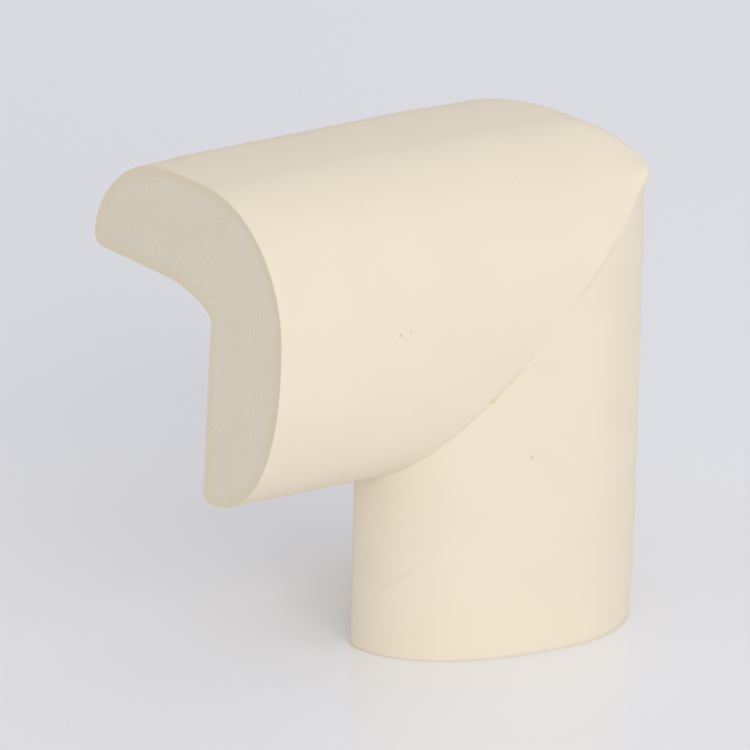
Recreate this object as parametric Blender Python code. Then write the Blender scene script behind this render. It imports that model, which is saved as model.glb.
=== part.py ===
"""Furniture corner protector: one length of soft foam angle, notched and folded square.

The foam is an L in section: a front flange that hangs over the face of the furniture and a top
flange that lies on its edge. The front flange is notched at mid length, the strip is folded there
through a right angle, and the notch's two faces close into a glued mitre seam on the front. The top
flange isn't cut: it wraps round the corner in one bend, which opens out behind the seam's end.

Frame: metres, +Z up, +X towards the outside of the corner, +Y from the front face to the back.
It stands on the upright arm's cut end, with the origin below the middle of its box.
"""

import math

import bmesh
import bpy

MM = 0.001

# Arms, each from its cut end to the outside of the corner
TOP_ARM_LENGTH = 55.0 * MM
UPRIGHT_ARM_HEIGHT = 55.4 * MM

# Section
FRONT_FLANGE_WIDTH = 35.4 * MM
FRONT_FLANGE_WALL = 13.3 * MM
TOP_FLANGE_WIDTH = 34.8 * MM
TOP_FLANGE_WALL = 12.2 * MM
OUTER_RADIUS = 14.6 * MM
FILLET_DOWN = 2.8 * MM
FILLET_BACK = 8.7 * MM
FILLET_FULLNESS = 1.8

# Free edges: a quarter oval from the outer face to a small round at the inner face
FRONT_FLAT = 1.1 * MM
FRONT_EDGE_ROUND = 1.1 * MM
FRONT_EDGE_FULLNESS = 2.2
TOP_FLAT = 6.9 * MM
TOP_EDGE_ROUND = 1.4 * MM
TOP_EDGE_FULLNESS = 1.8

# Fold: the glued seam on the front and the tip pinched up at its end, then the bend of the top
# flange, its distances of opening behind the seam's end, where it swells out a little wider, and the
# crease on its inner face
SEAM_RADIUS = 0.3 * MM
SEAM_DEPTH = 0.3 * MM
SEAM_TIP = 0.4 * MM
BEND_RADIUS = 11.2 * MM
BEND_OPENING = 8.0 * MM
BEND_ONSET = 2.25 * MM
SWELL = 1.3 * MM
SWELL_AT = 13.0 * MM
SWELL_REACH = 4.0 * MM
CREASE_RADIUS = 2.5 * MM

# Facets in each round
OUTER_STEPS = 12
OVAL_STEPS = 16
EDGE_STEPS = 3
FILLET_STEPS = 8
FOLD_STEPS = 14

# Cream closed-cell foam, matte
FOAM_COLOUR = (0.846, 0.745, 0.617, 1.0)
FOAM_ROUGHNESS = 0.72


def arc(centre, radius, start, end, steps):
    """Points on an arc in the section's plane, with both ends; the angles are in degrees."""
    points = []
    for step in range(steps + 1):
        angle = math.radians(start + (end - start) * step / steps)
        points.append((centre[0] + radius * math.cos(angle), centre[1] + radius * math.sin(angle)))
    return points


def oval(start, reach, depth, fullness):
    """A quarter oval that leaves the outer face at start and ends at reach, depth below it."""
    points = []
    for step in range(1, OVAL_STEPS + 1):
        angle = 0.5 * math.pi * step / OVAL_STEPS
        along = start + (reach - start) * math.sin(angle) ** (2.0 / fullness)
        across = depth * (1.0 - max(math.cos(angle), 0.0) ** (2.0 / fullness))
        points.append((along, across))
    return points


def flange(width, wall, flat, edge_round, fullness):
    """One flange from the middle of the outer radius to its inner face, as (along, across)."""
    outer = arc((OUTER_RADIUS, OUTER_RADIUS), OUTER_RADIUS, 225.0, 270.0, OUTER_STEPS)
    edge = oval(OUTER_RADIUS + flat, width, wall - edge_round, fullness)
    tip = arc((width - edge_round, wall - edge_round), edge_round, 0.0, 90.0, EDGE_STEPS)
    return outer + edge + tip[1:]


def inner_fillet():
    """The round inside the L, longer along the top flange than down the front flange."""
    points = []
    for step in range(FILLET_STEPS + 1):
        angle = 0.5 * math.pi * step / FILLET_STEPS
        down = FILLET_DOWN * (1.0 - math.sin(angle) ** (2.0 / FILLET_FULLNESS))
        back = FILLET_BACK * (1.0 - max(math.cos(angle), 0.0) ** (2.0 / FILLET_FULLNESS))
        points.append((TOP_FLANGE_WALL + down, FRONT_FLANGE_WALL + back))
    return points


def bend_radius(depth_in, depth_back):
    """Radius of the fold at a point of the top flange.

    It tightens through the wall from the bend outside to the crease inside, and at the seam's end
    both close up to the seam.
    """
    inside = min(depth_in / TOP_FLANGE_WALL, 1.0)
    through = BEND_RADIUS + (CREASE_RADIUS - BEND_RADIUS) * inside ** 2
    seam_end = OUTER_RADIUS * (1.0 - math.sqrt(0.5))
    behind = max(depth_back - seam_end, 0.0)
    opened = (1.0 - math.exp(-behind / BEND_OPENING)) * (1.0 - math.exp(-(behind / BEND_ONSET) ** 2))
    swollen = SWELL * (1.0 - inside) * math.exp(-((depth_back - SWELL_AT) / SWELL_REACH) ** 2)
    return SEAM_RADIUS + (through - SEAM_RADIUS) * opened + swollen


def section():
    """The closed outline: each point's depth in, depth back, fold radius and rise at the fold.

    Depth in is measured from the top or right face, and depth back from the front face.
    """
    front = flange(FRONT_FLANGE_WIDTH, FRONT_FLANGE_WALL, FRONT_FLAT,
                   FRONT_EDGE_ROUND, FRONT_EDGE_FULLNESS)
    top = flange(TOP_FLANGE_WIDTH, TOP_FLANGE_WALL, TOP_FLAT, TOP_EDGE_ROUND, TOP_EDGE_FULLNESS)
    outline = [(front[0][0], front[0][1], SEAM_RADIUS, SEAM_TIP)]
    outline += [(along, across, SEAM_RADIUS, -SEAM_DEPTH) for along, across in front[1:-1]]
    outline.append((front[-1][0], front[-1][1], SEAM_RADIUS, 0.0))
    wrapped = inner_fillet() + [(across, along) for along, across in reversed(top[1:])]
    for depth_in, depth_back in wrapped:
        outline.append((depth_in, depth_back, bend_radius(depth_in, depth_back), 0.0))
    return outline


def outward(outline, index):
    """Unit vector out of the foam, in the section's plane, at one point of the outline."""
    before = outline[index - 1]
    after = outline[(index + 1) % len(outline)]
    run_in = after[0] - before[0]
    run_back = after[1] - before[1]
    length = math.hypot(run_in, run_back)
    return run_back / length, -run_in / length


def folded_run(point, direction):
    """Where one point of the section goes: along the top arm, round the fold and down the upright."""
    depth_in, depth_back, radius, rise = point
    run = [(-TOP_ARM_LENGTH, depth_back, UPRIGHT_ARM_HEIGHT - depth_in)]
    for step in range(FOLD_STEPS + 1):
        turn = 0.5 * math.pi * step / FOLD_STEPS
        lift = rise * (1.0 - abs(2.0 * step / FOLD_STEPS - 1.0))
        at_in = depth_in + lift * direction[0]
        at_back = depth_back + lift * direction[1]
        x = -at_in - radius * (1.0 - math.sin(turn))
        z = UPRIGHT_ARM_HEIGHT - at_in - radius * (1.0 - math.cos(turn))
        run.append((x, at_back, z))
    run.append((-depth_in, depth_back, 0.0))
    return run


def foam_material():
    material = bpy.data.materials.new("cream_foam")
    material.use_nodes = True
    shader = material.node_tree.nodes["Principled BSDF"]
    shader.inputs["Base Color"].default_value = FOAM_COLOUR
    shader.inputs["Roughness"].default_value = FOAM_ROUGHNESS
    shader.inputs["Metallic"].default_value = 0.0
    material.diffuse_color = FOAM_COLOUR
    return material


def corner_protector():
    """Loft the section's points along their folded runs, and close both cut ends."""
    outline = section()
    shape = bmesh.new()
    runs = []
    for index, point in enumerate(outline):
        run = folded_run(point, outward(outline, index))
        runs.append([shape.verts.new(place) for place in run])
    for run, following in zip(runs, runs[1:] + runs[:1]):
        for step in range(len(run) - 1):
            shape.faces.new((run[step], run[step + 1], following[step + 1], following[step]))
    shape.faces.new([run[0] for run in runs])
    shape.faces.new([run[-1] for run in reversed(runs)])
    bmesh.ops.recalc_face_normals(shape, faces=shape.faces)

    mesh = bpy.data.meshes.new("corner_protector")
    shape.to_mesh(mesh)
    shape.free()
    mesh.shade_smooth()
    mesh.set_sharp_from_angle(angle=math.radians(40.0))
    mesh.materials.append(foam_material())
    piece = bpy.data.objects.new("corner_protector", mesh)
    piece.location = (0.5 * TOP_ARM_LENGTH, -0.5 * TOP_FLANGE_WIDTH, 0.0)
    return piece


def main():
    for item in list(bpy.data.objects):
        bpy.data.objects.remove(item, do_unlink=True)
    parts = bpy.data.collections.new("Furniture corner protector")
    bpy.context.scene.collection.children.link(parts)
    parts.objects.link(corner_protector())
    bpy.context.view_layer.update()


main()
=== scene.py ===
"""Looks of a furniture corner protector: cream foam angle, notched, folded square and glued.

The guard is modelled again as one dense skin on the same section and fold as the solid, with the
lifted lip and the open joint of the glued seam, the pinched tip, the slight crown and waves of the
foam, and both cut faces. The faint crease above the foot is in the skin's material, as a bump and
a painted shade along it. Popped surface cells and beads of dried glue are small pieces of their own.
"""

import math

import bmesh
import bpy
import numpy as np
from mathutils import Matrix, Vector, geometry, noise
from mathutils.bvhtree import BVHTree


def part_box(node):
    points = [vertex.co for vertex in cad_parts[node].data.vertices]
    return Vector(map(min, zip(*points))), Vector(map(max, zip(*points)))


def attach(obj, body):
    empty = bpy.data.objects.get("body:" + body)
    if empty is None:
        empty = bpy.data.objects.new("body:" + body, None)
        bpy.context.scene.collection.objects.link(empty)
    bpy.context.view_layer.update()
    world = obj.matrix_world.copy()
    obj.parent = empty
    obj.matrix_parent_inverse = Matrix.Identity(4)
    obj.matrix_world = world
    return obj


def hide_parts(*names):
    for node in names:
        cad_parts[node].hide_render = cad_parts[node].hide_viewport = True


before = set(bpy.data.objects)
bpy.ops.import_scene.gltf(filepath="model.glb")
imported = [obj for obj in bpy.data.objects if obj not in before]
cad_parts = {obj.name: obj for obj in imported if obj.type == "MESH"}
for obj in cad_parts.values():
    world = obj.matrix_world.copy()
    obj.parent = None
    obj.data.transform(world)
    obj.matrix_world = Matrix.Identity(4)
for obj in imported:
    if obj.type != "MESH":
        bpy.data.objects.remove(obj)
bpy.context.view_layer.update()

MM = 0.001
NODE = "corner_protector"
LOW, HIGH = (np.array(corner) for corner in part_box(NODE))

# The arms and the section as the solid has them, but with a front wall that thickens to its edge and
# an eased start of the top flange's thin edge
TOP_ARM_LENGTH = HIGH[0] - LOW[0]
UPRIGHT_ARM_HEIGHT = HIGH[2]
TOP_FLANGE_WIDTH = HIGH[1] - LOW[1]
TOP_FLANGE_WALL = 12.2 * MM
FRONT_FLANGE_WIDTH = 35.4 * MM
FRONT_FLANGE_WALL = 13.0 * MM
FRONT_EDGE_WALL = 13.7 * MM
OUTER_RADIUS = 14.6 * MM
FILLET_DOWN = 2.8 * MM
FILLET_BACK = 8.7 * MM
FILLET_FULLNESS = 1.8
FRONT_FLAT = 1.1 * MM
FRONT_EDGE_ROUND = 1.1 * MM
FRONT_EDGE_FULLNESS = 2.2
TOP_FLAT = 6.9 * MM
TOP_EDGE_ROUND = 1.4 * MM
TOP_EDGE_FULLNESS = 1.8
EASING = 3.0 * MM
EASING_PASSES = 60
SEAM_RADIUS = 0.3 * MM
BEND_RADIUS = 11.2 * MM
BEND_OPENING = 8.0 * MM
BEND_ONSET = 2.25 * MM
SWELL_AT = 13.0 * MM
SWELL_REACH = 4.0 * MM
SWELL = 1.3 * MM
CREASE_RADIUS = 2.5 * MM

# How finely the skin is drawn, and the angle in degrees from which an edge is sharp
OUTER_STEPS = 24
OVAL_STEPS = 40
EDGE_STEPS = 6
FILLET_STEPS = 24
FLAT_STEP = 0.6 * MM
FOLD_STEPS = 32
NEAR_SEAM = np.array([0.05, 0.12, 0.2, 0.3, 0.45, 0.65, 0.95, 1.35, 1.9, 2.7, 3.7, 5.0]) * MM
ARM_STEPS = 56
SHARP_ANGLE = 50.0

# The cut faces: a slight round at the knife's edge, more at the foot, and rows of points inside it
END_ROUND = 0.05 * MM
FOOT_ROUND = 0.16 * MM
ROUND_DRAWN_IN = 0.8
CUT_ROWS = np.array([0.25, 0.55, 0.95, 1.5]) * MM
ROW_KEPT_AT = 0.97
CUT_SPACING = 0.9 * MM
GRID_CLEARANCE = 0.4
CUT_UNEVEN = 0.03 * MM
CUT_WAVE = 1.1 * MM
CUT_EVEN_RIM = (0.1 * MM, 1.0 * MM)
SAME_POINT = 1e-6

# The glued seam, by distance along the skin from its end at the outside of the corner
SEAM_WIDTH = 0.10 * MM
SEAM_SHARPNESS = 1.5
SEAM_WANDER = 0.20 * MM
WANDER_STRETCH = (32.0 * MM, 38.0 * MM)
WANDER_FADE = 3.0 * MM
JOINT_OPENS = (17.0 * MM, 20.0 * MM)
JOINT_DEPTH = 0.03 * MM
INSIDE_SHARE = 0.4
FAINT_STRETCH = (6.0 * MM, 12.6 * MM)
FAINT_FADE = 1.0 * MM
FAINT_WIDTH = 0.24 * MM
FAINT_DEPTH = 0.014 * MM
SOFT_STRETCH = (9.0 * MM, 17.0 * MM)
SOFT_RADIUS = 0.25 * MM
BREAK_LENGTH = 1.6 * MM
BREAK_MEAN = 0.75
BREAK_SWING = 0.6
LIP_RISES = (19.0 * MM, 33.0 * MM)
LIP_HEIGHT = 0.05 * MM
LIP_ENDS = 4.0 * MM
LIP_EDGE = 0.06 * MM
CLEAR_OF_CUT = (0.3 * MM, 3.0 * MM)

# The dried glue on the seam: where it lies, its smear and its beads
GLUE_STRETCHES = ((18.0 * MM, 19.5 * MM), (20.2 * MM, 21.3 * MM), (21.8 * MM, 23.4 * MM))
GLUE_FADE = 0.3 * MM
GLUE_OFFSET = 0.16 * MM
GLUE_SPREAD = 0.50 * MM
GLUE_FILLS = 0.6
GLUE_LINE_STEP = 0.3 * MM
BEAD_SPACING = 0.45 * MM
BEAD_SIZE = 0.4 * MM
BEAD_SCATTER = 0.15 * MM
BEAD_SHAPE = (1.0, 0.8, 0.1)
BEAD_SHARES = (0.5, 1.3)

# The pinched beak at the seam's end: its broad foot, then its tip
TIP_REACH = np.array([0.32, -0.32, 0.24]) * MM
TIP_SIZE = 0.93 * MM
TIP_SHARPNESS = 1.3
BEAK_RISE = 0.50 * MM
BEAK_SIZE = 1.9 * MM

# The slight crown of both arms, which starts behind the cut ends and ends before the bend
CROWN_HEIGHT = 0.22 * MM
CROWN_STARTS = (1.0 * MM, 6.0 * MM)
CROWN_ENDS = (9.5 * MM, 17.5 * MM)
UPRIGHT_CROWN_ENDS = (2.0 * MM, 8.0 * MM)
CROWN_BEHIND_FRONT = (1.0 * MM, 5.0 * MM)
CROWN_INTO_FOAM = (4.0 * MM, 9.0 * MM)

# Waves of the soft skin: size and height
SKIN_WAVES = ((14.0 * MM, 0.04 * MM), (4.5 * MM, 0.015 * MM))

# The camera: where it aims, how far off it stands and how it is turned
AIM = Vector((-1.356, 1.199, 28.168)) * MM
DISTANCE = 2000.6 * MM
AZIMUTH = 36.409
ELEVATION = 18.87
ROLL = 1.577
LENS = 886.85
SENSOR = 36.0
PICTURE_SIZE = 750
PICTURE_MIDDLE = 0.5 * (PICTURE_SIZE - 1)
FOCAL = LENS / SENSOR * PICTURE_SIZE

# The faint crease above the foot: its ends in the photograph's frame, how far it bows down between
# them in pixels, how wide and deep its groove is, where along it the groove fades in and out, and
# how far the skin has to face the camera
CREASE_ENDS = ((366.7, 595.5), (440.7, 542.5))
CREASE_BOW = 4.7
CREASE_WIDTH = 0.38 * MM
CREASE_DEPTH = 0.04 * MM
CREASE_STARTS = (0.0, 0.15)
CREASE_STOPS = (0.8, 1.0)
CREASE_FACING = 0.1

# Popped surface cells that the photograph shows: column and row in its frame, and share of size
POPPED_CELLS = (
    (364, 122, 0.5), (462, 126, 0.5), (540, 122, 0.6), (532, 206, 0.6), (589, 220, 0.5),
    (515, 177, 0.4), (458, 277, 0.4), (291, 238, 0.5), (400, 335, 1.4), (410, 331, 1.0),
    (347, 370, 0.4), (535, 364, 0.7), (532, 457, 1.2), (570, 482, 0.5), (487, 449, 0.5),
    (445, 587, 0.5), (595, 542, 0.5), (602, 609, 0.5), (507, 655, 0.5), (140, 237, 0.7),
    (235, 430, 0.7),
)
CELL_SIZE = 0.44 * MM
CELL_SIDES = 10

# A popped cell of unit width: distance out from its middle and height, and where its dish fades out
CELL_PROFILE = ((0.0, 0.02), (0.16, 0.03), (0.27, 0.13), (0.38, 0.15), (0.5, 0.0))
CELL_DISH = (0.08, 0.42)

# Strays on the sides that the photograph doesn't show: number for each square metre, shares of size,
# and the cosine to the view below which the skin faces away
STRAY_CELLS = 2600.0
STRAY_SHARES = (0.35, 0.8)
STRAY_FACING = -0.05
SEED = 7

# The lamps: name, azimuth and watts; azimuth 0 is in front of the object, and 90 to its right
LAMPS = (
    ("front_softbox", -20.0, 5.14),
    ("front_right_softbox", 25.0, 1.06),
    ("right_softbox", 110.0, 1.69),
    ("left_softbox", -105.0, 0.62),
)
LAMP_ELEVATION = 22.0
LAMP_DISTANCE = 1.2
LAMP_SIDE = 0.7
LAMP_AIM = Vector((0.0, 0.0, 0.03))
WORLD_LEVEL = 0.90
TABLE_SIZE = 10.0


def linear(hex_colour):
    """The linear colour of an sRGB hex value."""
    shares = [int(hex_colour[at:at + 2], 16) / 255.0 for at in (1, 3, 5)]
    return (*(s / 12.92 if s <= 0.04045 else ((s + 0.055) / 1.055) ** 2.4 for s in shares), 1.0)


def socket(sockets, key):
    """The socket at a place, or the one in use with a name."""
    if isinstance(key, int):
        return sockets[key]
    return next(found for found in sockets if found.name == key and not found.is_unavailable)


def add(tree, kind, inputs=None, out=0, **settings):
    """Adds a node with its settings, values and links, and returns one of its outputs."""
    made = tree.nodes.new(kind)
    for name, value in settings.items():
        setattr(made, name, value)
    for key, value in (inputs or {}).items():
        if isinstance(value, bpy.types.NodeSocket):
            tree.links.new(value, socket(made.inputs, key))
        else:
            socket(made.inputs, key).default_value = value
    return socket(made.outputs, out)


def smooth(value, low, high):
    """0 below low, 1 above high, and a soft step between."""
    share = np.clip((value - low) / (high - low), 0.0, 1.0)
    return share * share * (3.0 - 2.0 * share)


# The section

def arc(centre, radius, start, end, steps):
    """Points on an arc, with both ends; the angles are in degrees."""
    angles = np.radians(np.linspace(start, end, steps + 1))
    return np.array(centre) + radius * np.column_stack((np.cos(angles), np.sin(angles)))


def oval(start, reach, depth, fullness):
    """A quarter oval that leaves the outer face at start and ends at reach, depth below it."""
    angles = 0.5 * np.pi * np.arange(OVAL_STEPS + 1) / OVAL_STEPS
    along = start + (reach - start) * np.sin(angles) ** (2.0 / fullness)
    across = depth * (1.0 - np.clip(np.cos(angles), 0.0, 1.0) ** (2.0 / fullness))
    return np.column_stack((along, across))


def straight(start, end):
    """Points from start to end, a flat step apart."""
    steps = max(1, round(math.dist(start, end) / FLAT_STEP))
    return np.linspace(start, end, steps + 1)


def flange(width, wall, flat, edge_round, fullness, fillet_start):
    """One flange's skin from the middle of the outer radius, and its inner face to the fillet."""
    outer = arc((OUTER_RADIUS, OUTER_RADIUS), OUTER_RADIUS, 225.0, 270.0, OUTER_STEPS)
    level = straight((OUTER_RADIUS, 0.0), (OUTER_RADIUS + flat, 0.0))
    edge = oval(OUTER_RADIUS + flat, width, wall - edge_round, fullness)
    tip = arc((width - edge_round, wall - edge_round), edge_round, 0.0, 90.0, EDGE_STEPS)
    inner = straight((width - edge_round, wall), fillet_start)
    return np.vstack((outer, level[1:], edge[1:], tip[1:])), inner[1:]


def eased(outline, first):
    """The outline with the top face's start of its thin edge drawn out, as moulded foam has it."""
    top_face = np.arange(len(outline)) >= first
    start = OUTER_RADIUS + TOP_FLAT
    share = np.exp(-((outline[:, 1] - start) / EASING) ** 2) * top_face
    share *= outline[:, 0] < 0.5 * TOP_FLANGE_WALL
    softened = outline.copy()
    for _ in range(EASING_PASSES):
        between = 0.5 * (np.roll(softened, 1, axis=0) + np.roll(softened, -1, axis=0))
        softened += share[:, None] * (between - softened)
    return softened


def section():
    """The closed outline as (depth in, depth back), with the counts of skin and inner points."""
    fillet_start = (TOP_FLANGE_WALL + FILLET_DOWN, FRONT_FLANGE_WALL)
    fillet_end = (FRONT_FLANGE_WALL + FILLET_BACK, TOP_FLANGE_WALL)
    skin, inner = flange(FRONT_FLANGE_WIDTH, FRONT_EDGE_WALL, FRONT_FLAT,
                         FRONT_EDGE_ROUND, FRONT_EDGE_FULLNESS, fillet_start)
    top = np.vstack(flange(TOP_FLANGE_WIDTH, TOP_FLANGE_WALL, TOP_FLAT,
                           TOP_EDGE_ROUND, TOP_EDGE_FULLNESS, fillet_end))
    turn = 0.5 * np.pi * np.arange(1, FILLET_STEPS) / FILLET_STEPS
    fillet = np.column_stack((
        TOP_FLANGE_WALL + FILLET_DOWN * (1.0 - np.sin(turn) ** (2.0 / FILLET_FULLNESS)),
        FRONT_FLANGE_WALL + FILLET_BACK * (1.0 - np.cos(turn) ** (2.0 / FILLET_FULLNESS))))
    outline = np.vstack((skin, inner, fillet, top[:0:-1, ::-1]))
    return eased(outline, len(skin) + len(inner)), len(skin), len(inner)


def distances_along(outline):
    """Distance along the outline from the seam's end at the outside of the corner."""
    return np.concatenate(([0.0], np.cumsum(np.linalg.norm(np.diff(outline, axis=0), axis=1))))


def fold_radii(outline, skin_count, inner_count):
    """Radius of the fold at each point: closed along the seam, open where the top flange bends."""
    depth_in, depth_back = outline.T
    inside = np.minimum(depth_in / TOP_FLANGE_WALL, 1.0)
    through = BEND_RADIUS + (CREASE_RADIUS - BEND_RADIUS) * inside ** 2
    seam_end = OUTER_RADIUS * (1.0 - math.sqrt(0.5))
    behind = np.maximum(depth_back - seam_end, 0.0)
    opened = (1.0 - np.exp(-behind / BEND_OPENING)) * (1.0 - np.exp(-(behind / BEND_ONSET) ** 2))
    seam_radii = SEAM_RADIUS + SOFT_RADIUS * (1.0 - smooth(distances_along(outline), *SOFT_STRETCH))
    radii = seam_radii[0] + (through - seam_radii[0]) * opened
    radii += SWELL * (1.0 - inside) * np.exp(-((depth_back - SWELL_AT) / SWELL_REACH) ** 2)
    fillet_start = skin_count + inner_count - 1
    radii[:skin_count] = seam_radii[:skin_count]
    radii[skin_count - 1:fillet_start + 1] = np.linspace(SEAM_RADIUS, radii[fillet_start],
                                                         inner_count + 1)
    return radii


# The skin

def fold_the_section(outline, radii):
    """Each point's run along the top arm, round the fold and down the upright arm.

    Gives the places and their distance from the middle of the fold, below zero on the top arm.
    """
    depth_in, depth_back, radius = (column[:, None] for column in (*outline.T, radii))
    near = np.repeat(NEAR_SEAM[None], len(outline), 0)

    def from_fold(length, cut_round):
        """Distances from the fold to the arm's cut end."""
        clear = length - depth_in - radius
        far = np.linspace(0.0, 1.0, ARM_STEPS + 1)[None, 1:]
        spread = NEAR_SEAM[-1] + (clear - cut_round - NEAR_SEAM[-1]) * far
        return np.hstack((near, spread, clear))

    top = from_fold(TOP_ARM_LENGTH, END_ROUND)[:, ::-1]
    upright = from_fold(UPRIGHT_ARM_HEIGHT, FOOT_ROUND)
    turn = 0.5 * np.pi * np.arange(FOLD_STEPS + 1)[None] / FOLD_STEPS
    x = np.hstack((-depth_in - radius - top, -depth_in - radius * (1.0 - np.sin(turn)),
                   -depth_in + 0.0 * upright))
    z = np.hstack((-depth_in + 0.0 * top, -depth_in - radius * (1.0 - np.cos(turn)),
                   -depth_in - radius - upright))
    places = np.stack((x + HIGH[0], depth_back + LOW[1] + 0.0 * x, z + UPRIGHT_ARM_HEIGHT), axis=-1)
    half = 0.25 * np.pi * radius
    return places, np.hstack((-top - half, radius * turn - half, upright + half))


def outward(places):
    """Unit vectors out of the foam at each place of the skin."""
    round_it = np.roll(places, -1, axis=0) - np.roll(places, 1, axis=0)
    along_it = np.gradient(places, axis=1)
    normals = np.cross(round_it, along_it)
    return normals / np.linalg.norm(normals, axis=-1, keepdims=True)


def waves(places, size):
    """Smooth noise between about -1 and 1, with hills of the given size."""
    heights = [noise.noise(Vector(place)) for place in places.reshape(-1, 3) / size]
    return np.array(heights).reshape(places.shape[:-1])


def stretch(along, start, end, soft):
    """1 between start and end, falling off softly outside."""
    return smooth(along, start - soft, start + soft) * (1.0 - smooth(along, end - soft, end + soft))


def seam_profile(outline, skin_count, inner_count):
    """For each point of the section: distance along the seam, joint's depth and width, lip, stain."""
    count = len(outline)
    along = distances_along(outline)
    on_skin = np.arange(count) < skin_count
    on_inner = ~on_skin & (np.arange(count) < skin_count + inner_count)

    broken = np.array([BREAK_MEAN + BREAK_SWING * noise.noise(Vector((step, 0.3, 8.7)))
                       for step in along / BREAK_LENGTH])
    depth = JOINT_DEPTH * smooth(along, *JOINT_OPENS) * broken
    faint = stretch(along, *FAINT_STRETCH, FAINT_FADE)
    depth += FAINT_DEPTH * faint
    width = SEAM_WIDTH + (FAINT_WIDTH - SEAM_WIDTH) * faint
    depth = np.where(on_skin, depth, np.where(on_inner, JOINT_DEPTH * INSIDE_SHARE, 0.0))
    tip = along[skin_count - 1]
    lip = LIP_HEIGHT * smooth(along, *LIP_RISES) * (1.0 - smooth(along, tip, tip + LIP_ENDS))
    stain = np.max([stretch(along, *ends, GLUE_FADE) for ends in GLUE_STRETCHES], axis=0)
    depth *= 1.0 - GLUE_FILLS * stain
    return along, depth, width, lip, np.where(on_skin, stain, 0.0)


def shaped_skin():
    """The skin's places in their final shape, its values for the material, and the seam's run."""
    outline, skin_count, inner_count = section()
    radii = fold_radii(outline, skin_count, inner_count)
    places, from_fold = fold_the_section(outline, radii)
    along, depth, width, lip, stain = seam_profile(outline, skin_count, inner_count)

    normals = outward(places)
    shift = SEAM_WANDER * stretch(along, *WANDER_STRETCH, WANDER_FADE)
    gap = np.exp(-(np.abs(from_fold + shift[:, None]) / width[:, None]) ** SEAM_SHARPNESS)
    on_top_arm = 1.0 - smooth(from_fold, -LIP_EDGE, LIP_EDGE)
    from_cut = places[..., 0] - LOW[0]
    rise = lip[:, None] * on_top_arm * smooth(from_cut, *CLEAR_OF_CUT) - depth[:, None] * gap

    depth_in, depth_back = outline.T[..., None]
    on_outside = smooth(depth_back, *CROWN_BEHIND_FRONT) * (1.0 - smooth(depth_in, *CROWN_INTO_FOAM))
    before_bend = smooth(-from_fold, *CROWN_ENDS) + smooth(from_fold, *UPRIGHT_CROWN_ENDS)
    behind_cut = smooth(np.minimum(from_cut, places[..., 2]), *CROWN_STARTS)
    rise += CROWN_HEIGHT * on_outside * before_bend * behind_cut
    for size, height in SKIN_WAVES:
        rise += height * waves(places, size)
    rise[:, 0] -= ROUND_DRAWN_IN * END_ROUND
    rise[:, -1] -= ROUND_DRAWN_IN * FOOT_ROUND

    middle = int(np.argmin(np.abs(from_fold[0])))
    from_tip = np.linalg.norm(places - places[0, middle], axis=-1)
    rise += BEAK_RISE * np.exp(-(from_tip / BEAK_SIZE) ** 2)
    pull = np.exp(-(from_tip / TIP_SIZE) ** TIP_SHARPNESS)[..., None]
    shaped = places + normals * rise[..., None] + TIP_REACH * pull

    # Painted shade of the open joint: how much the skin's colour darkens where the joint is deep
    painted_joint_shade = np.minimum(depth / JOINT_DEPTH, 1.0)[:, None] * gap
    stained = stain[:, None] * np.exp(-((from_fold - GLUE_OFFSET) / GLUE_SPREAD) ** 2)
    from_crease, creased = crease_marks(shaped, normals)
    creased[skin_count:] = 0.0
    marks = {"painted_joint_shade": painted_joint_shade, "glue_stain": stained, "from_crease": from_crease / MM,
             "creased": creased}
    seam = (along[:skin_count], shaped[:skin_count, middle], normals[:skin_count, middle])
    return shaped, marks, seam


def crease_marks(places, normals):
    """How far each place lies from the crease, as the camera sees it, and how marked it is there."""
    start, end = (np.array(point) for point in CREASE_ENDS)
    run = end - start
    length = np.linalg.norm(run)
    away = in_the_picture(places) - start
    share = away @ run / length ** 2
    across = (away[..., 0] * run[1] - away[..., 1] * run[0]) / length
    across += 4.0 * CREASE_BOW * share * (1.0 - share)
    marked = smooth(share, *CREASE_STARTS) * (1.0 - smooth(share, *CREASE_STOPS))
    faces_camera = normals @ np.array(camera_axes()[2]) > CREASE_FACING
    return across * DISTANCE / FOCAL, marked * faces_camera


# The cut faces

def distance_to_outline(points, ring):
    """Shortest distance from each point to the closed ring."""
    spans = np.roll(ring, -1, axis=0) - ring
    to_points = points[:, None] - ring[None]
    share = np.clip((to_points * spans).sum(-1) / (spans ** 2).sum(-1), 0.0, 1.0)
    return np.linalg.norm(to_points - share[..., None] * spans, axis=-1).min(1)


def is_inside(points, ring):
    """Whether each point lies inside the ring, by the crossings of a ray."""
    following = np.roll(ring, -1, axis=0)
    column, row = points[:, :1], points[:, 1:]
    spans = (ring[None, :, 1] > row) != (following[None, :, 1] > row)
    climb = np.where(following[:, 1] == ring[:, 1], 1.0, following[:, 1] - ring[:, 1])
    crossing = ring[:, 0] + (row - ring[:, 1]) / climb * (following[:, 0] - ring[:, 0])
    return (spans & (crossing > column)).sum(1) % 2 == 1


def inside_points(ring):
    """Rows of points along the inside of the ring, then a staggered grid over the middle."""
    run = np.roll(ring, -1, axis=0) - np.roll(ring, 1, axis=0)
    across = np.column_stack((-run[:, 1], run[:, 0])) / np.linalg.norm(run, axis=1)[:, None]
    kept = []
    for depth in CUT_ROWS:
        for side in (-depth, depth):
            row = (ring + across * side)[::2]
            clear = distance_to_outline(row, ring) > ROW_KEPT_AT * depth
            kept.append(row[clear & is_inside(row, ring)])
    low, high = ring.min(0), ring.max(0)
    columns = np.arange(low[0], high[0], CUT_SPACING)
    rows = np.arange(low[1], high[1], CUT_SPACING * math.sin(math.radians(60.0)))
    across_grid, down_grid = np.meshgrid(columns, rows)
    across_grid[1::2] += 0.5 * CUT_SPACING
    grid = np.column_stack((across_grid.ravel(), down_grid.ravel()))
    clear = distance_to_outline(grid, ring) > CUT_ROWS[-1] + GRID_CLEARANCE * CUT_SPACING
    kept.append(grid[clear & is_inside(grid, ring)])
    return np.vstack(kept)


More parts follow.
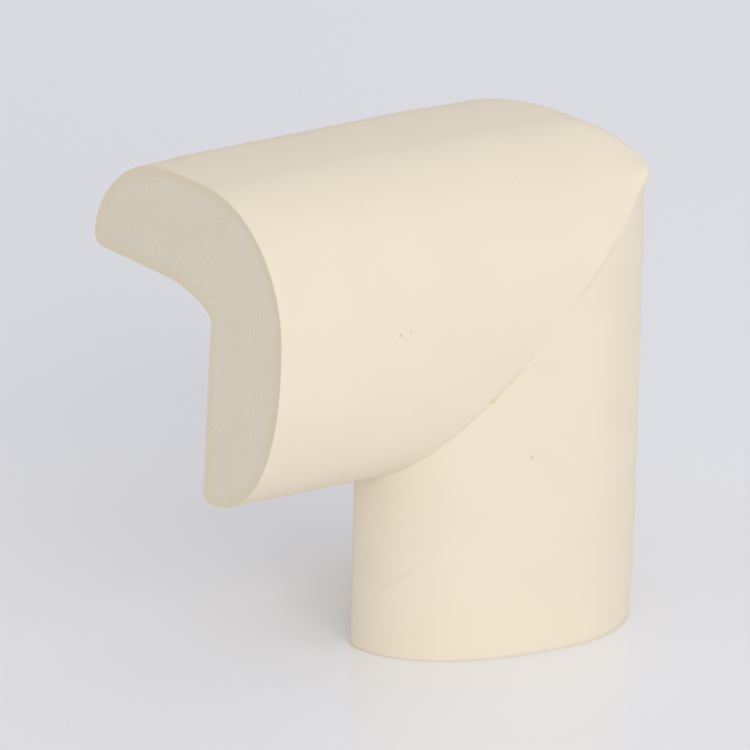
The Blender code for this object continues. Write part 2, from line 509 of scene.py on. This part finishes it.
def cut_face(vertices, ring_numbers, axis):
    """Fill one cut end inside its ring of skin points; gives new vertices, triangles and rims."""
    plane = [0, 1, 2]
    plane.remove(axis)
    ring = vertices[ring_numbers][:, plane]
    inner = inside_points(ring)
    flat = np.vstack((ring, inner))
    border = list(range(len(ring)))
    edges = list(zip(border, border[1:] + border[:1]))
    corners = [Vector(point) for point in flat / MM]
    found = geometry.delaunay_2d_cdt(corners, edges, [border], 1, SAME_POINT)
    sources = np.array([numbers[0] for numbers in found[3]])
    triangles = sources[np.array(found[2])]

    rims = distance_to_outline(inner, ring)
    added = np.zeros((len(inner), 3))
    added[:, plane] = inner
    added[:, axis] = vertices[ring_numbers][:, axis].mean()
    added[:, axis] += CUT_UNEVEN * (1.0 + waves(added, CUT_WAVE)) * smooth(rims, *CUT_EVEN_RIM)
    numbers = np.concatenate((ring_numbers, len(vertices) + np.arange(len(inner))))
    return added, numbers[triangles], rims


# The pieces

def finished(name, mesh, *materials):
    """A linked object for a finished mesh."""
    for material in materials:
        mesh.materials.append(material)
    piece = bpy.data.objects.new(name, mesh)
    bpy.context.scene.collection.objects.link(piece)
    return piece


def give_attribute(mesh, name, values, kind="FLOAT"):
    """A value or a vector for each point of the mesh."""
    attribute = mesh.attributes.new(name, kind, "POINT")
    field = "value" if kind == "FLOAT" else "vector"
    attribute.data.foreach_set(field, np.asarray(values, dtype=np.float32).ravel())


def foam_guard(skin_material, cut_material):
    """The guard: the folded skin, closed by its two cut faces, and the run of its seam."""
    shaped, marks, seam = shaped_skin()
    rows, columns = shaped.shape[:2]
    numbers = np.arange(rows * columns).reshape(rows, columns)
    below = np.roll(numbers, -1, axis=0)
    corners = (numbers[:, :-1], numbers[:, 1:], below[:, 1:], below[:, :-1])
    faces = np.stack(corners, -1).reshape(-1, 4).tolist()
    skin_faces = len(faces)
    vertices = shaped.reshape(-1, 3)
    rims = [np.zeros(len(vertices))]
    for ring_numbers, axis in ((numbers[:, 0], 0), (numbers[:, -1], 2)):
        added, triangles, rim = cut_face(vertices, ring_numbers, axis)
        vertices = np.vstack((vertices, added))
        faces += triangles.tolist()
        rims.append(rim)

    mesh = bpy.data.meshes.new("foam_guard")
    mesh.from_pydata(vertices.tolist(), [], faces)
    outside = bmesh.new()
    outside.from_mesh(mesh)
    bmesh.ops.recalc_face_normals(outside, faces=outside.faces)
    outside.to_mesh(mesh)
    outside.free()
    on_cut = np.arange(len(faces)) >= skin_faces
    mesh.polygons.foreach_set("material_index", on_cut.astype(np.int32))
    mesh.shade_smooth()
    mesh.set_sharp_from_angle(angle=math.radians(SHARP_ANGLE))
    cut_points = np.zeros(len(vertices) - rows * columns)
    give_attribute(mesh, "rim", np.concatenate(rims) / MM)
    for name, values in marks.items():
        give_attribute(mesh, name, np.concatenate((values.ravel(), cut_points)))
    return finished("foam_guard", mesh, skin_material, cut_material), seam


def made_by(tree, name, mesh, values):
    """The plain mesh that a geometry tree makes from a mesh, as a finished piece."""
    carrier = finished(name, mesh)
    modifier = carrier.modifiers.new(tree.name, "NODES")
    modifier.node_group = tree
    for item in tree.interface.items_tree:
        if item.name in values:
            modifier[item.identifier] = values[item.name]
    evaluated = carrier.evaluated_get(bpy.context.evaluated_depsgraph_get())
    result = bpy.data.meshes.new_from_object(evaluated)
    carrier.modifiers.clear()
    carrier.data = result
    result.name = name
    bpy.data.meshes.remove(mesh)
    return carrier


def new_tree(name, sockets):
    """A geometry tree with named inputs, and its group input's outputs by name."""
    tree = bpy.data.node_groups.new(name, "GeometryNodeTree")
    tree.interface.new_socket("Geometry", in_out="OUTPUT", socket_type="NodeSocketGeometry")
    for label, kind in (("Geometry", "Geometry"), *sockets):
        tree.interface.new_socket(label, in_out="INPUT", socket_type=f"NodeSocket{kind}")
    given = tree.nodes.new("NodeGroupInput")
    return tree, {found.name: found for found in given.outputs}


def popped_cell():
    """A burst surface cell of unit width: a soft low lip round a dish, as a small mesh."""
    shape = bmesh.new()
    points = [shape.verts.new((reach, 0.0, height)) for reach, height in CELL_PROFILE]
    edges = [shape.edges.new(pair) for pair in zip(points, points[1:])]
    bmesh.ops.spin(shape, geom=points + edges, cent=(0, 0, 0), axis=(0, 0, 1),
                   angle=2.0 * math.pi, steps=CELL_SIDES, use_duplicate=False)
    bmesh.ops.remove_doubles(shape, verts=shape.verts, dist=1e-4)
    bmesh.ops.recalc_face_normals(shape, faces=shape.faces)
    mesh = bpy.data.meshes.new("popped_cell")
    shape.to_mesh(mesh)
    shape.free()
    mesh.shade_smooth()
    depths = [1.0 - smooth(math.hypot(*vertex.co.xy), *CELL_DISH) for vertex in mesh.vertices]
    give_attribute(mesh, "hollow", depths)
    return mesh


def popped_cells_tree():
    """Sets a popped cell on every marked point, and strays where the skin faces away."""
    tree, given = new_tree("popped_cells", (
        ("Skin", "Object"), ("Cell", "Object"), ("Towards View", "Vector"), ("Size", "Float"),
        ("Strays", "Float"), ("Seed", "Int"), ("Material", "Material")))
    cell = add(tree, "GeometryNodeObjectInfo", {"Object": given["Cell"]}, out="Geometry")
    skin = add(tree, "GeometryNodeObjectInfo", {"Object": given["Skin"]}, out="Geometry")
    facing = add(tree, "GeometryNodeInputNamedAttribute", {"Name": "facing"},
                 out="Attribute", data_type="FLOAT_VECTOR")
    share = add(tree, "GeometryNodeInputNamedAttribute", {"Name": "share"}, out="Attribute")
    size = add(tree, "ShaderNodeMath", {0: share, 1: given["Size"]}, operation="MULTIPLY")
    marked = add(tree, "GeometryNodeMeshToPoints", {"Mesh": given["Geometry"]})
    stands = add(tree, "FunctionNodeAlignRotationToVector", {"Vector": facing}, axis="Z")
    seen = add(tree, "GeometryNodeInstanceOnPoints", {"Points": marked, "Instance": cell,
                                                      "Rotation": stands, "Scale": size})

    normal = add(tree, "GeometryNodeInputNormal")
    faces_view = add(tree, "ShaderNodeVectorMath", {0: normal, 1: given["Towards View"]},
                     out="Value", operation="DOT_PRODUCT")
    hidden = add(tree, "FunctionNodeCompare", {"A": faces_view, "B": STRAY_FACING},
                 operation="LESS_THAN")
    spread = tree.nodes.new("GeometryNodeDistributePointsOnFaces")
    for key, source in (("Mesh", skin), ("Selection", hidden), ("Density", given["Strays"]),
                        ("Seed", given["Seed"])):
        tree.links.new(source, socket(spread.inputs, key))
    smallest, largest = STRAY_SHARES
    stray_share = add(tree, "FunctionNodeRandomValue", {"Min": smallest, "Max": largest,
                                                        "Seed": given["Seed"]}, out="Value")
    stray_size = add(tree, "ShaderNodeMath", {0: stray_share, 1: given["Size"]}, operation="MULTIPLY")
    strays = add(tree, "GeometryNodeInstanceOnPoints", {
        "Points": spread.outputs["Points"], "Instance": cell,
        "Rotation": spread.outputs["Rotation"], "Scale": stray_size})
    joined = tree.nodes.new("GeometryNodeJoinGeometry")
    tree.links.new(seen, joined.inputs[0])
    tree.links.new(strays, joined.inputs[0])
    real = add(tree, "GeometryNodeRealizeInstances", {"Geometry": joined.outputs[0]})
    result = add(tree, "GeometryNodeSetMaterial", {"Geometry": real, "Material": given["Material"]})
    tree.links.new(result, tree.nodes.new("NodeGroupOutput").inputs[0])
    return tree


def popped_cells(guard, material):
    """Burst cells in the skin and the cut face: the ones that show, and a few on the far sides."""
    hits, shares = seen_on(guard, POPPED_CELLS)
    marks = bpy.data.meshes.new("marks")
    marks.from_pydata([place for place, _ in hits], [], [])
    give_attribute(marks, "facing", [tuple(normal) for _, normal in hits], "FLOAT_VECTOR")
    give_attribute(marks, "share", shares)
    cell = finished("popped_cell", popped_cell())
    values = {"Skin": guard, "Cell": cell, "Towards View": tuple(camera_axes()[2]),
              "Size": CELL_SIZE, "Strays": STRAY_CELLS, "Seed": SEED, "Material": material}
    cells = made_by(popped_cells_tree(), "popped_cells", marks, values)
    bpy.data.objects.remove(cell)
    return cells


def glue_tree():
    """Beads of uneven size along a line, flattened against the seam."""
    tree, given = new_tree("squeezed_glue", (
        ("Spacing", "Float"), ("Bead Size", "Float"), ("Scatter", "Float"), ("Seed", "Int"),
        ("Material", "Material")))
    line = add(tree, "GeometryNodeMeshToCurve", {"Mesh": given["Geometry"]})
    points = add(tree, "GeometryNodeResampleCurve", {"Curve": line, "Length": given["Spacing"]},
                 mode="LENGTH")
    low, high = (add(tree, "ShaderNodeVectorMath", {0: (end, end, end), "Scale": given["Scatter"]},
                     operation="SCALE") for end in (-1.0, 1.0))
    offset = add(tree, "FunctionNodeRandomValue", {"Min": low, "Max": high, "Seed": given["Seed"]},
                 out="Value", data_type="FLOAT_VECTOR")
    moved = add(tree, "GeometryNodeSetPosition", {"Geometry": points, "Offset": offset})
    facing = add(tree, "GeometryNodeInputNamedAttribute", {"Name": "facing"},
                 out="Attribute", data_type="FLOAT_VECTOR")
    stands = add(tree, "FunctionNodeAlignRotationToVector", {"Vector": facing}, axis="Z")
    bead = add(tree, "GeometryNodeMeshIcoSphere", {"Radius": 0.5, "Subdivisions": 3}, out="Mesh")
    smallest, largest = BEAD_SHARES
    width = add(tree, "FunctionNodeRandomValue", {"Min": smallest, "Max": largest,
                                                  "Seed": given["Seed"]}, out="Value")
    flat = add(tree, "ShaderNodeCombineXYZ", dict(zip("XYZ", BEAD_SHAPE)))
    scaled = add(tree, "ShaderNodeVectorMath", {0: flat, "Scale": width}, operation="SCALE")
    sized = add(tree, "ShaderNodeVectorMath", {0: scaled, "Scale": given["Bead Size"]},
                operation="SCALE")
    beads = add(tree, "GeometryNodeInstanceOnPoints", {"Points": moved, "Instance": bead,
                                                       "Rotation": stands, "Scale": sized})
    real = add(tree, "GeometryNodeRealizeInstances", {"Geometry": beads})
    smoothed = add(tree, "GeometryNodeSetShadeSmooth", {"Geometry": real})
    result = add(tree, "GeometryNodeSetMaterial", {"Geometry": smoothed,
                                                   "Material": given["Material"]})
    tree.links.new(result, tree.nodes.new("NodeGroupOutput").inputs[0])
    return tree


def squeezed_glue(seam, material):
    """Beads of dried glue where it was pressed out of the seam."""
    along, places, normals = seam
    points, facing, edges = [], [], []
    for start, end in GLUE_STRETCHES:
        first = len(points)
        for step in np.linspace(start, end, max(2, round((end - start) / GLUE_LINE_STEP))):
            points.append([np.interp(step, along, places[:, axis]) for axis in range(3)])
            facing.append([np.interp(step, along, normals[:, axis]) for axis in range(3)])
        edges += [(number, number + 1) for number in range(first, len(points) - 1)]
    line = bpy.data.meshes.new("glue_line")
    aside = GLUE_OFFSET * math.sqrt(0.5) * np.array((1.0, 0.0, -1.0))
    line.from_pydata((np.array(points) + aside).tolist(), edges, [])
    give_attribute(line, "facing", facing, "FLOAT_VECTOR")
    values = {"Spacing": BEAD_SPACING, "Bead Size": BEAD_SIZE, "Scatter": BEAD_SCATTER,
              "Seed": SEED, "Material": material}
    return made_by(glue_tree(), "squeezed_glue", line, values)


# The camera and what it sees

def camera_axes():
    """The camera's right, up and backward directions."""
    azimuth, elevation, roll = (math.radians(angle) for angle in (AZIMUTH, ELEVATION, ROLL))
    forward = Vector((math.sin(azimuth) * math.cos(elevation),
                      math.cos(azimuth) * math.cos(elevation), -math.sin(elevation)))
    level = Vector((math.cos(azimuth), -math.sin(azimuth), 0.0))
    rising = level.cross(forward)
    right = math.cos(roll) * level + math.sin(roll) * rising
    up = math.cos(roll) * rising - math.sin(roll) * level
    return right, up, -forward


def make_camera():
    """The photograph's point of view, a long lens from the front left and above."""
    right, up, back = camera_axes()
    data = bpy.data.cameras.new("camera")
    data.lens = LENS
    data.sensor_width = SENSOR
    data.clip_end = 100.0
    camera = bpy.data.objects.new("camera", data)
    turned = Matrix((right, up, back)).transposed().to_4x4()
    camera.matrix_world = Matrix.Translation(AIM + back * DISTANCE) @ turned
    bpy.context.scene.collection.objects.link(camera)
    bpy.context.scene.camera = camera


def seen_on(piece, marks):
    """Where the camera sees the piece at each mark, which way it faces there, and the mark's share."""
    right, up, back = camera_axes()
    start = AIM + back * DISTANCE
    tree = BVHTree.FromObject(piece, bpy.context.evaluated_depsgraph_get())
    hits, shares = [], []
    for column, row, share in marks:
        ray = -back + right * (column - PICTURE_MIDDLE) / FOCAL - up * (row - PICTURE_MIDDLE) / FOCAL
        place, normal, _, _ = tree.ray_cast(start, ray.normalized())
        if place is not None:
            hits.append((place, normal))
            shares.append(share)
    return hits, shares


def in_the_picture(places):
    """Columns and rows of the photograph's frame at which the camera sees the places."""
    right, up, back = (np.array(axis) for axis in camera_axes())
    away = places - np.array(AIM)
    scale = FOCAL / (DISTANCE - away @ back)
    columns = PICTURE_MIDDLE + scale * (away @ right)
    rows = PICTURE_MIDDLE - scale * (away @ up)
    return np.stack((columns, rows), axis=-1)


# Materials

def new_material(name):
    """A material with its tree, its shader and the surface's own coordinates."""
    material = bpy.data.materials.new(name)
    material.use_nodes = True
    tree = material.node_tree
    return material, tree, tree.nodes["Principled BSDF"], add(tree, "ShaderNodeTexCoord", out="Object")


def blended(tree, share, first, second):
    """A colour between two others."""
    return add(tree, "ShaderNodeMix", {"Factor": share, "A": first, "B": second},
               out="Result", data_type="RGBA")


def patches(tree, place, size, low, high):
    """Soft patches of a size in millimetres, from 0 to 1."""
    cloud = add(tree, "ShaderNodeTexNoise", {"Vector": place, "Scale": 1.0 / (size * MM),
                                             "Detail": 2.0})
    return add(tree, "ShaderNodeMapRange", {"Value": cloud, "From Min": low, "From Max": high})


def moulded_skin():
    """Nitrile foam skin, moulded in the die: matte and even cream, with a faint mottle.

    Dried glue tints it along the seam, painted shade darkens its open joint, and one crease runs across
    it above the foot with painted shade along it.
    """
    material, tree, shader, place = new_material("moulded_nitrile_foam_skin")
    cream = blended(tree, patches(tree, place, 7.0, 0.35, 0.65), linear("#ede1ca"), linear("#efe3cc"))
    glue = add(tree, "ShaderNodeAttribute", out="Fac", attribute_name="glue_stain")
    uneven = add(tree, "ShaderNodeMath", {0: glue, 1: patches(tree, place, 0.5, 0.3, 0.6)},
                 operation="MULTIPLY")
    stained = blended(tree, uneven, cream, linear("#e9dbb8"))

    from_crease = add(tree, "ShaderNodeAttribute", out="Fac", attribute_name="from_crease")
    off_crease = add(tree, "ShaderNodeMath", {0: from_crease}, operation="ABSOLUTE")
    groove = add(tree, "ShaderNodeMapRange", {"Value": off_crease, "From Min": CREASE_WIDTH / MM,
                                              "From Max": 0.0}, interpolation_type="SMOOTHSTEP")
    creased = add(tree, "ShaderNodeAttribute", out="Fac", attribute_name="creased")
    crease = add(tree, "ShaderNodeMath", {0: groove, 1: creased}, operation="MULTIPLY")
    # Painted shade along the crease: a slightly darker band of the skin's colour over its groove
    marked = blended(tree, crease, stained, linear("#ecdfc8"))
    # Painted shade in the open joint: the skin's colour darkened along the groove
    joint_shade = add(tree, "ShaderNodeAttribute", out="Fac", attribute_name="painted_joint_shade")
    tree.links.new(blended(tree, joint_shade, marked, linear("#dcd0b9")), shader.inputs["Base Color"])

    peel = add(tree, "ShaderNodeTexNoise", {"Vector": place, "Scale": 1.0 / (0.35 * MM),
                                            "Detail": 2.0})
    rough = add(tree, "ShaderNodeMapRange", {"Value": peel, "To Min": 0.58, "To Max": 0.72})
    tree.links.new(rough, shader.inputs["Roughness"])
    folded = add(tree, "ShaderNodeBump", {"Distance": CREASE_DEPTH, "Height": crease}, invert=True)
    bump = add(tree, "ShaderNodeBump", {"Strength": 0.25, "Distance": 0.02 * MM, "Height": peel,
                                        "Normal": folded})
    tree.links.new(bump, shader.inputs["Normal"])
    shader.inputs["Specular IOR Level"].default_value = 0.4
    return material


def cut_foam():
    """The same foam sliced by a knife: open fine cells, greyer in the core, warm at the skin.

    The grain is drawn 2 pixels of the photograph wide. The real cells may be finer than it shows.
    """
    material, tree, shader, place = new_material("knife_cut_foam_cells")
    rim = add(tree, "ShaderNodeAttribute", out="Fac", attribute_name="rim")
    wander = add(tree, "ShaderNodeTexNoise", {"Vector": place, "Scale": 1.0 / (3.0 * MM),
                                              "Detail": 2.0})
    reach = add(tree, "ShaderNodeMath", {0: wander, 1: rim}, operation="ADD")
    inward = add(tree, "ShaderNodeMapRange", {"Value": reach, "From Min": 0.9, "From Max": 2.2},
                 interpolation_type="SMOOTHSTEP")
    core = blended(tree, patches(tree, place, 5.0, 0.35, 0.65), linear("#ede3cd"), linear("#efe6d2"))
    at_skin = add(tree, "ShaderNodeMapRange", {"Value": reach, "From Min": 0.1, "From Max": 0.45},
                  interpolation_type="SMOOTHSTEP")
    warm = blended(tree, at_skin, linear("#e8dabf"), linear("#ede0c4"))
    body = blended(tree, inward, warm, core)

    grain = add(tree, "ShaderNodeTexNoise", {"Vector": place, "Scale": 1.0 / (0.22 * MM),
                                             "Detail": 3.0})
    shade = add(tree, "ShaderNodeMapRange", {"Value": grain, "From Min": 0.3, "From Max": 0.7,
                                             "To Min": 0.0, "To Max": 0.24})
    tree.links.new(blended(tree, shade, body, linear("#b9ae99")), shader.inputs["Base Color"])
    bump = add(tree, "ShaderNodeBump", {"Strength": 0.4, "Distance": 0.05 * MM, "Height": grain})
    tree.links.new(bump, shader.inputs["Normal"])
    shader.inputs["Roughness"].default_value = 0.9
    shader.inputs["Specular IOR Level"].default_value = 0.2
    return material


def burst_cells():
    """A cell burst at the surface: skin-coloured lip, and a darker dish, painted shade in the open
    cell.
    """
    material, tree, shader, _ = new_material("burst_foam_cells")
    hollow = add(tree, "ShaderNodeAttribute", out="Fac", attribute_name="hollow")
    # The dish darker than the lip: painted shade in the burst cell's hollow
    cream = blended(tree, hollow, linear("#efe3cd"), linear("#cfc3ad"))
    tree.links.new(cream, shader.inputs["Base Color"])
    shader.inputs["Roughness"].default_value = 0.7
    return material


def dried_glue():
    """Contact adhesive, dried in the air: pale amber, with a slight gloss."""
    material, tree, shader, place = new_material("dried_contact_adhesive")
    amber = blended(tree, patches(tree, place, 0.4, 0.35, 0.65), linear("#ece0c1"), linear("#e9ddba"))
    tree.links.new(amber, shader.inputs["Base Color"])
    shader.inputs["Roughness"].default_value = 0.4
    return material


def table_top():
    """Pale acrylic sheet, polished: even cool white with a faint mirror image."""
    material, tree, shader, place = new_material("polished_pale_acrylic")
    tint = blended(tree, patches(tree, place, 400.0, 0.3, 0.7), linear("#f1f1f3"), linear("#f2f2f4"))
    tree.links.new(tint, shader.inputs["Base Color"])
    shader.inputs["Roughness"].default_value = 0.12
    shader.inputs["Specular IOR Level"].default_value = 0.3
    return material


# The stage

def make_lamps():
    """Large soft lamps round the object."""
    rise = math.radians(LAMP_ELEVATION)
    for name, azimuth, watts in LAMPS:
        data = bpy.data.lights.new(name, "AREA")
        data.shape = "SQUARE"
        data.size = LAMP_SIDE
        data.energy = watts
        lamp = bpy.data.objects.new(name, data)
        turn = math.radians(azimuth)
        away = Vector((math.sin(turn) * math.cos(rise), -math.cos(turn) * math.cos(rise),
                       math.sin(rise)))
        lamp.location = away * LAMP_DISTANCE + LAMP_AIM
        lamp.rotation_mode = "QUATERNION"
        lamp.rotation_quaternion = away.to_track_quat("Z", "Y")
        bpy.context.scene.collection.objects.link(lamp)


def make_world():
    """An even pale surround, which lights the guard a little less than the camera sees it."""
    world = bpy.data.worlds.new("surround")
    world.use_nodes = True
    tree = world.node_tree
    tree.nodes.clear()
    camera_ray = add(tree, "ShaderNodeLightPath", out="Is Camera Ray")
    level = add(tree, "ShaderNodeMapRange", {"Value": camera_ray, "To Min": WORLD_LEVEL, "To Max": 1.0})
    glow = add(tree, "ShaderNodeBackground", {"Color": linear("#dbdce1"), "Strength": level})
    tree.links.new(glow, tree.nodes.new("ShaderNodeOutputWorld").inputs["Surface"])
    bpy.context.scene.world = world


def make_table():
    """The table top that the guard stands on."""
    half = 0.5 * TABLE_SIZE
    mesh = bpy.data.meshes.new("table_top")
    mesh.from_pydata([(-half, -half, 0), (half, -half, 0), (half, half, 0), (-half, half, 0)],
                     [], [(0, 1, 2, 3)])
    finished("table_top", mesh, table_top())


make_camera()
make_lamps()
make_world()
make_table()

guard, seam = foam_guard(moulded_skin(), cut_foam())
cells = popped_cells(guard, burst_cells())
glue = squeezed_glue(seam, dried_glue())

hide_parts(NODE)
for piece in (guard, cells, glue):
    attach(piece, "root")

bpy.context.scene.view_settings.view_transform = "Standard"
